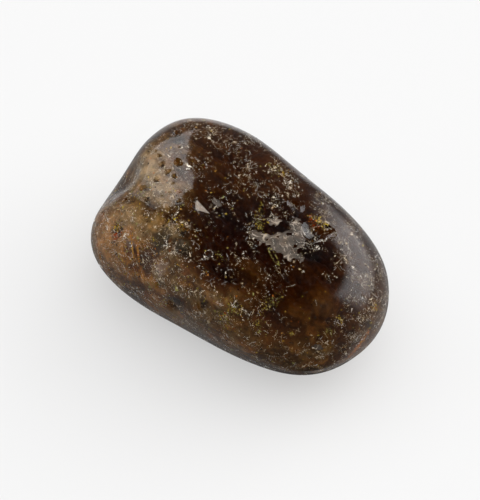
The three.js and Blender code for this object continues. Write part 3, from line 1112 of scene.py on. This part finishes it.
def make_clouds(look):
    """Cloudy brown patches: shallow at the left end and low down, and deep in the clear amber, with shade
    painted on them under the pits.
    """
    bm = bmesh.new()
    bmesh.ops.create_icosphere(bm, subdivisions=CLOUD_BALL_STEPS, radius=1)
    ways = ball_ways(bm)
    skin = skin_points(ways)
    depth = cloud_depth(ways)
    places = under_skin(ways, depth * MM)
    patchy = 0.25 * wander(skin, 2.2 * MM, 12)
    # Painted shade: the dark attribute darkens the clouds under each pit, standing in for the shade in the
    # pit
    painted_pit_shade = [
        (lon, lat, across * SHADE_AROUND_PIT, PIT_PAINTED_SHADE) for _name, lon, lat, across, _depth in CARVED_PITS
    ]
    shades = {
        "golden": weight_at(ways, TINTED_PLACES["golden"]) + patchy,
        "tan": weight_at(ways, TINTED_PLACES["tan"]) - patchy,
        "dark": weight_at(ways, painted_pit_shade),
        "deep": (depth - DEEP_FROM) / DEEP_OVER,
    }
    for name in ("red", "slate", "lilac"):
        ragged = wander(skin, 1.8 * MM, 13) + wander(skin, 0.8 * MM, 14)
        shades[name] = 3 * (weight_at(ways, TINTED_PLACES[name]) - 0.4 + 0.16 * ragged)
    layers = {name: bm.verts.layers.float.new(name) for name in shades}
    for vert, place in zip(bm.verts, places):
        vert.co = place
    for name, amounts in shades.items():
        for vert, amount in zip(bm.verts, np.clip(amounts, 0, 1)):
            vert[layers[name]] = amount
    bmesh.ops.recalc_face_normals(bm, faces=bm.faces[:])
    return finish_piece(new_object("cloudy_patches", mesh_from(bm, "cloudy_patches")), cloudy_material(look))


def cloudy_material(look):
    material, _nodes, shader = new_material("cloudy_amber")
    tree = Tree(material.node_tree)
    where = tree.add("ShaderNodeTexCoord").outputs["Object"]
    colours = (look.cloud_dark, look.cloud_mid, look.cloud_pale, look.cloud_rust)
    mottle = add_mottle(tree, where, 420.0, colours, grain=0.5)
    colour = mottle.outputs["Color"]
    uneven = tree.ramp(mottle.outputs["Value"], [(0.35, 0.55), (0.65, 1.15)])
    for name in TINTED_PLACES:
        amount = tree.add("ShaderNodeAttribute", attribute_name=name).outputs["Fac"]
        tinted = tree.mix(1.0, uneven, getattr(look, "cloud_" + name), "MULTIPLY")
        colour = tree.mix(tree.maths("MULTIPLY", amount, TINT_SHARE), colour, tinted)
    deep = tree.add("ShaderNodeAttribute", attribute_name="deep").outputs["Fac"]
    # The dark attribute is painted shade under the pits
    dark = tree.add("ShaderNodeAttribute", attribute_name="dark").outputs["Fac"]
    colour = tree.mix(deep, colour, look.cloud_deep)
    colour = tree.mix(dark, colour, look.cloud_shade, "MULTIPLY")
    grain = tree.ramp(tree.noise(where, 1500.0, 5.0, 0.75), [(0.3, 0.45), (0.7, 1.45)])
    colour = tree.mix(1.0, colour, grain, "MULTIPLY")
    tree.join(colour, shader.inputs["Base Color"])
    shader.inputs["Roughness"].default_value = 0.6
    return material


# Settings that a user would change

def colour_setting(name, text, default):
    return bpy.props.FloatVectorProperty(
        name=name, description=text, default=default, size=3, min=0, max=1, subtype="COLOR"
    )


def length_setting(name, text, default):
    return bpy.props.FloatProperty(
        name=name, description=text, default=default, min=0, subtype="DISTANCE", unit="LENGTH"
    )


def number_setting(name, text, default, least=0.0, most=1000.0):
    return bpy.props.FloatProperty(name=name, description=text, default=default, min=least, max=most)


def share_setting(name, text, default):
    return number_setting(name, text, default, most=1.0)


def count_setting(name, text, default):
    return bpy.props.IntProperty(name=name, description=text, default=default, min=0)


class AmberBodySettings(bpy.types.PropertyGroup):
    skin_dark: colour_setting("Dark skin", "Tint of the darkest amber at the skin", (0.85, 0.79, 0.70))
    skin_mid: colour_setting("Skin", "Tint of most of the amber at the skin", (0.94, 0.90, 0.84))
    skin_pale: colour_setting("Pale skin", "Tint of the palest amber at the skin", (0.99, 0.98, 0.95))
    skin_red: colour_setting("Red skin", "Tint of the reddest amber at the skin", (0.88, 0.76, 0.64))
    lets_in: colour_setting("Lets in", "Share of a lamp's light that gets in", (0.92, 0.9, 0.86))
    depth_colour: colour_setting("Depth colour", "Colour that the amber lets through", (0.70, 0.54, 0.10))
    depth_density: number_setting("Depth", "How fast the amber soaks up light, per metre", 480)
    ior: number_setting("IOR", "Refractive index of amber", 1.54, least=1, most=2)
    clearness: share_setting("Clearness", "Share of the light that goes in", 1.0)
    relief: length_setting("Relief", "Height of the fine relief on the skin", 0.03 * MM)


class AmberFleckSettings(bpy.types.PropertyGroup):
    seed: count_setting("Seed", "Changes where the flecks lie", 11)
    trails: count_setting("Trails", "How many trails of flecks", 9500)
    longest_trail: count_setting("Longest", "Most flecks in a trail", 7)
    shallow_share: share_setting("Shallow", "Share of the trails right under the skin", 0.6)
    # Painted highlight: these flecks paint the glint round a pit's mouth
    per_rim: count_setting("Per rim", "Flecks round the mouth of a pit", 9)
    # Proud flecks are chips on the skin, painted paler as sparkle
    proud_share: share_setting("Proud", "Share of the trails just proud of the skin", 0.2)
    fleck_size: length_setting("Size", "Usual length of a fleck", 0.15 * MM)
    thread_share: share_setting("Threads", "Share of the trails that join into threads", 0.3)
    tan: colour_setting("Tan", "Colour of the brownest flecks", (0.20, 0.13, 0.07))
    cream: colour_setting("Cream", "Colour of cream flecks", (0.50, 0.40, 0.27))
    pale: colour_setting("Pale", "Colour of pale flecks", (0.78, 0.69, 0.55))
    white: colour_setting("White", "Colour of the whitest flecks", (0.98, 0.94, 0.87))


class AmberFlakeSettings(bpy.types.PropertyGroup):
    flake_seed: count_setting("Seed", "Changes where the loose flakes lie", 5)
    loose_flakes: count_setting("Loose", "How many loose flakes", 2500)
    flake_size: length_setting("Size", "Usual length of a flake", 0.18 * MM)
    red: colour_setting("Red", "Colour of the reddest flakes", (0.42, 0.055, 0.008))
    orange: colour_setting("Orange", "Colour of orange flakes", (0.50, 0.20, 0.04))
    gold: colour_setting("Gold", "Colour of golden flakes", (0.50, 0.33, 0.05))
    yellow: colour_setting("Yellow", "Colour of yellow flakes", (0.70, 0.56, 0.07))
    olive: colour_setting("Olive", "Colour of olive flakes", (0.28, 0.245, 0.055))
    green: colour_setting("Green", "Colour of the greenest flakes", (0.36, 0.38, 0.14))


class AmberCrumbSettings(bpy.types.PropertyGroup):
    crumb_seed: count_setting("Seed", "Changes where the loose crumbs lie", 3)
    loose_crumbs: count_setting("Loose", "How many loose crumbs", 1500)
    # Painted shade: the crumbs that darken each pit's floor
    crumbs_per_pit: count_setting("Per pit", "Crumbs on the floor of a pit", 22)
    crumb_size: length_setting("Size", "Usual length of a crumb", 0.24 * MM)
    black: colour_setting("Black", "Colour of the darkest crumbs", (0.008, 0.004, 0.002))
    brown: colour_setting("Brown", "Colour of brown crumbs", (0.03, 0.015, 0.01))
    violet: colour_setting("Violet", "Colour of violet-grey crumbs", (0.09, 0.065, 0.07))


class AmberFractureSettings(bpy.types.PropertyGroup):
    sheet_step: length_setting("Step", "Size of a sheet's faces", 0.07 * MM)
    crinkle: length_setting("Crinkle", "Height of the crinkles", 0.07 * MM)
    sheet_dark: colour_setting("Dark", "Colour in the sheet's hollows", (0.02, 0.017, 0.017))
    sheet_grey: colour_setting("Grey", "Usual colour of the sheet", (0.066, 0.051, 0.047))
    sheet_pale: colour_setting("Pale", "Colour of the sheet's ridges", (0.38, 0.34, 0.315))


class AmberCloudSettings(bpy.types.PropertyGroup):
    cloud_dark: colour_setting("Dark", "Darkest colour of the clouds", (0.04, 0.021, 0.011))
    cloud_mid: colour_setting("Middle", "Usual colour of the clouds", (0.095, 0.066, 0.045))
    cloud_pale: colour_setting("Pale", "Palest colour of the clouds", (0.155, 0.11, 0.07))
    cloud_rust: colour_setting("Rust", "Reddest of the usual colours", (0.095, 0.038, 0.018))
    cloud_golden: colour_setting("Golden", "Colour where the clouds are golden", (0.45, 0.21, 0.05))
    cloud_tan: colour_setting("Tan", "Colour where the clouds are pale", (0.32, 0.235, 0.145))
    cloud_red: colour_setting("Red", "Colour where the clouds are dark red", (0.07, 0.018, 0.012))
    cloud_slate: colour_setting("Slate", "Colour where the clouds are dark grey", (0.034, 0.032, 0.033))
    cloud_lilac: colour_setting("Lilac", "Colour where the clouds are lilac", (0.21, 0.165, 0.18))
    cloud_deep: colour_setting("Deep", "Colour of the clouds deep in the amber", (0.082, 0.041, 0.015))
    # Painted shade: the colour laid on the clouds under the pits
    cloud_shade: colour_setting("Shade", "Colour where the clouds are darker", (0.20, 0.12, 0.14))


class AmberStageSettings(bpy.types.PropertyGroup):
    floor_colour: colour_setting("Floor", "Colour of the floor", (0.28, 0.28, 0.28))
    floor_glow: number_setting("Glow", "Light that comes up through the floor", 0.5)
    azimuth: number_setting("Azimuth", "Where the camera stands, degrees", 44, least=-360)
    elevation: number_setting("Elevation", "How high the camera is, degrees", 50, least=-90)
    distance: length_setting("Distance", "From the camera to the pebble's middle", 420 * MM)


class AMBER_OT_body(bpy.types.Operator):
    """Makes the clear body with its pits"""

    bl_idname = "amber.body"
    bl_label = "Clear body"

    def execute(self, context):
        make_body(context.scene.amber_body)
        return {"FINISHED"}


class AMBER_OT_clouds(bpy.types.Operator):
    """Makes the cloudy patches inside the amber"""

    bl_idname = "amber.clouds"
    bl_label = "Cloudy patches"

    def execute(self, context):
        make_clouds(context.scene.amber_clouds)
        return {"FINISHED"}


class AMBER_OT_fractures(bpy.types.Operator):
    """Makes the crinkled fractures close under the skin"""

    bl_idname = "amber.fractures"
    bl_label = "Crinkled fractures"

    def execute(self, context):
        make_fractures(context.scene.amber_fractures)
        return {"FINISHED"}


class AMBER_OT_flecks(bpy.types.Operator):
    """Scatters the pale flecks under the skin"""

    bl_idname = "amber.flecks"
    bl_label = "Pale flecks"

    def execute(self, context):
        make_flecks(context.scene.amber_flecks)
        return {"FINISHED"}


class AMBER_OT_flakes(bpy.types.Operator):
    """Scatters the golden, olive and orange flakes"""

    bl_idname = "amber.flakes"
    bl_label = "Golden flakes"

    def execute(self, context):
        make_flakes(context.scene.amber_flakes)
        return {"FINISHED"}


class AMBER_OT_crumbs(bpy.types.Operator):
    """Scatters the dark crumbs, and lines the pits with them"""

    bl_idname = "amber.crumbs"
    bl_label = "Dark crumbs"

    def execute(self, context):
        make_crumbs(context.scene.amber_crumbs)
        return {"FINISHED"}


# The stage
FLOOR_SIZE = 6.0
PHOTO_HEIGHT_PX = 500
MM_PER_PX = 0.1232  # at the pebble, which sets how much of the frame it fills
SENSOR = 36.0
SEEN_BEHIND = (0.93, 0.93, 0.93)  # what the camera sees past the floor

# How bright the dim room is round the pebble: azimuth in degrees, radiance
ROOM = [
    (0, 0.12),
    (30, 0.2),
    (100, 0.2),
    (112, 0.12),
    (145, 0.15),
    (165, 0.26),
    (230, 0.3),
    (270, 0.12),
    (330, 0.08),
]
# A soft pale wall on the right, over the room's light
RIGHT_WALL = [(27, 0.0), (36, 1.8), (50, 2.2), (96, 2.2), (112, 0.0)]
# The lit backdrop behind the pebble, seen in its far rim
BACKDROP = [(95, 0.0), (108, 0.2), (130, 0.6), (148, 0.3), (160, 0.1), (175, 0.0)]

# How each of them changes from straight below, at 0, to straight above, at 1: height, share
ROOM_HEIGHTS = [(0.04, 0.6), (0.2, 1.0), (0.7, 1.0), (0.88, 0.35), (0.95, 0.03)]
WALL_HEIGHTS = [(0.45, 0.1), (0.6, 1.0), (0.81, 1.0), (0.865, 0.0)]
BACKDROP_HEIGHTS = [(0.1, 0.0), (0.22, 1.0), (0.36, 1.0), (0.44, 0.0)]

# The softbox on the left, in layers that brighten its core: name, far edge, lower edge, radiance
LEFT_SOFTBOX = [
    ("left_softbox", 180, 14, 0.8),
    ("left_softbox_half", 165, 12, 0.7),
    ("left_softbox_core", 156, 24, 0.5),
    ("left_softbox_top", 156, 35, 0.3),
]
SOFTBOX_NEAR_EDGE = 142.6  # the crisp edge of the left-hand gloss
SOFTBOX_TOP = 54
SOFTBOX_LEAN = 5.5
SOFTBOX_AWAY = 0.5


def place_light(name, azimuth, elevation, distance, width, height, radiance, glossy=True):
    """A rectangle of light that faces the pebble, with that radiance."""
    light = bpy.data.lights.new(name, "AREA")
    light.shape = "RECTANGLE"
    light.size = width
    light.size_y = height
    light.energy = radiance * math.pi * width * height
    lamp = bpy.data.objects.new(name, light)
    way = Vector(ways_at(azimuth, elevation))
    middle = Vector(MIDDLE)
    lamp.location = middle + way * distance
    lamp.rotation_euler = (-way).to_track_quat("-Z", "Y").to_euler()
    lamp.visible_glossy = glossy
    bpy.context.scene.collection.objects.link(lamp)
    return lamp


def place_panel(name, azimuths, elevations, distance, radiance, lean):
    """An upright softbox seen in the gloss: azimuths and elevations are the edges that the pebble sees."""
    half = math.radians(azimuths[1] - azimuths[0]) / 2
    low, high = (distance * math.tan(math.radians(edge)) for edge in elevations)
    width = 2 * distance * math.tan(half)
    middle_way = Vector(ways_at(sum(azimuths) / 2, 0))
    lamp = place_light(name, sum(azimuths) / 2, 0, distance, width, high - low, radiance)
    lamp.location = Vector(MIDDLE) + middle_way * distance + Vector((0, 0, (low + high) / 2))
    turn = (-middle_way).to_track_quat("-Z", "Y") @ Quaternion((0, 0, 1), -math.radians(lean))
    lamp.rotation_euler = turn.to_euler()
    lamp.visible_diffuse = False
    return lamp


def make_world():
    """A dim studio round the pebble, with a pale backdrop behind the floor."""
    world = bpy.data.worlds.new("studio")
    bpy.context.scene.world = world
    world.use_nodes = True
    tree = Tree(world.node_tree)
    way = tree.add("ShaderNodeTexCoord").outputs["Generated"]
    split = tree.add("ShaderNodeSeparateXYZ", {0: way})
    half_height = tree.maths("MULTIPLY_ADD", split.outputs["Z"], 0.5)
    half_height.node.inputs[2].default_value = 0.5
    turn = tree.maths("DIVIDE", tree.maths("ARCTAN2", split.outputs["Y"], split.outputs["X"]), 2 * math.pi)
    turn = tree.maths("FRACT", turn)

    def lit(heights, azimuths):
        around = tree.ramp(turn, [(azimuth / 360, light) for azimuth, light in azimuths])
        return tree.maths("MULTIPLY", tree.ramp(half_height, heights), around)

    studio = tree.maths("ADD", lit(ROOM_HEIGHTS, ROOM), lit(WALL_HEIGHTS, RIGHT_WALL))
    studio = tree.maths("ADD", studio, lit(BACKDROP_HEIGHTS, BACKDROP))
    seen = tree.add("ShaderNodeLightPath").outputs["Is Camera Ray"]
    background = world.node_tree.nodes["Background"]
    tree.join(tree.mix(seen, studio, SEEN_BEHIND), background.inputs["Color"])


def make_floor(look):
    bm = bmesh.new()
    bmesh.ops.create_grid(bm, x_segments=1, y_segments=1, size=FLOOR_SIZE / 2)
    floor = new_object("floor", mesh_from(bm, "floor"))
    material, _nodes, shader = new_material("pale_floor")
    shader.inputs["Base Color"].default_value = (*look.floor_colour, 1)
    shader.inputs["Roughness"].default_value = 0.9
    shader.inputs["Specular IOR Level"].default_value = 0.1
    shader.inputs["Emission Color"].default_value = (1, 1, 1, 1)
    shader.inputs["Emission Strength"].default_value = look.floor_glow
    floor.data.materials.append(material)
    floor.visible_glossy = False


def place_camera(look):
    camera_data = bpy.data.cameras.new("camera")
    camera = bpy.data.objects.new("camera", camera_data)
    bpy.context.scene.collection.objects.link(camera)
    bpy.context.scene.camera = camera
    low, high = CAD_BOX
    middle = (low + high) / 2
    a, e = math.radians(look.azimuth), math.radians(look.elevation)
    back = Vector((math.sin(a) * math.cos(e), -math.cos(a) * math.cos(e), math.sin(e)))
    camera.location = middle + back * look.distance
    camera.rotation_euler = (-back).to_track_quat("-Z", "Y").to_euler()
    camera_data.sensor_width = SENSOR
    camera_data.lens = SENSOR * look.distance / (PHOTO_HEIGHT_PX * MM_PER_PX * MM)
    camera_data.clip_start = 0.01
    camera_data.clip_end = 20


def make_stage(look):
    """The floor, the lights, the camera and the room round them."""
    make_floor(look)
    make_world()
    for name, far_edge, lower_edge, radiance in LEFT_SOFTBOX:
        azimuths = (SOFTBOX_NEAR_EDGE, far_edge)
        place_panel(name, azimuths, (lower_edge, SOFTBOX_TOP), SOFTBOX_AWAY, radiance, SOFTBOX_LEAN)
    place_light("overhead", 70, 80, 0.36, 0.9, 0.9, 1.95, glossy=False)
    place_light("left_fill", 215, 25, 0.5, 0.5, 0.4, 0.8, glossy=False)
    place_camera(look)
    bpy.context.scene.view_settings.view_transform = "Standard"


class AMBER_OT_stage(bpy.types.Operator):
    """Makes the floor, the lights and the camera"""

    bl_idname = "amber.stage"
    bl_label = "Stage"

    def execute(self, context):
        make_stage(context.scene.amber_stage)
        return {"FINISHED"}


class AMBER_PT_panel(bpy.types.Panel):
    bl_label = "Amber pebble"
    bl_space_type = "VIEW_3D"
    bl_region_type = "UI"
    bl_category = "Amber"

    def draw(self, context):
        for operator, settings in STEPS:
            self.layout.operator(operator.bl_idname)
            group = getattr(context.scene, settings)
            for label in group.__annotations__:
                self.layout.prop(group, label)


SETTINGS = {
    "amber_body": AmberBodySettings,
    "amber_clouds": AmberCloudSettings,
    "amber_fractures": AmberFractureSettings,
    "amber_flecks": AmberFleckSettings,
    "amber_flakes": AmberFlakeSettings,
    "amber_crumbs": AmberCrumbSettings,
    "amber_stage": AmberStageSettings,
}
STEPS = [
    (AMBER_OT_stage, "amber_stage"),
    (AMBER_OT_body, "amber_body"),
    (AMBER_OT_clouds, "amber_clouds"),
    (AMBER_OT_fractures, "amber_fractures"),
    (AMBER_OT_flecks, "amber_flecks"),
    (AMBER_OT_flakes, "amber_flakes"),
    (AMBER_OT_crumbs, "amber_crumbs"),
]


def register():
    for name, group in SETTINGS.items():
        bpy.utils.register_class(group)
        setattr(bpy.types.Scene, name, bpy.props.PointerProperty(type=group))
    for operator, _settings in STEPS:
        bpy.utils.register_class(operator)
    bpy.utils.register_class(AMBER_PT_panel)


def unregister():
    bpy.utils.unregister_class(AMBER_PT_panel)
    for operator, _settings in reversed(STEPS):
        bpy.utils.unregister_class(operator)
    for name, group in SETTINGS.items():
        delattr(bpy.types.Scene, name)
        bpy.utils.unregister_class(group)


def main():
    register()
    for operator, _settings in STEPS:
        category, action = operator.bl_idname.split(".")
        getattr(getattr(bpy.ops, category), action)()


if __name__ == "__main__":
    main()
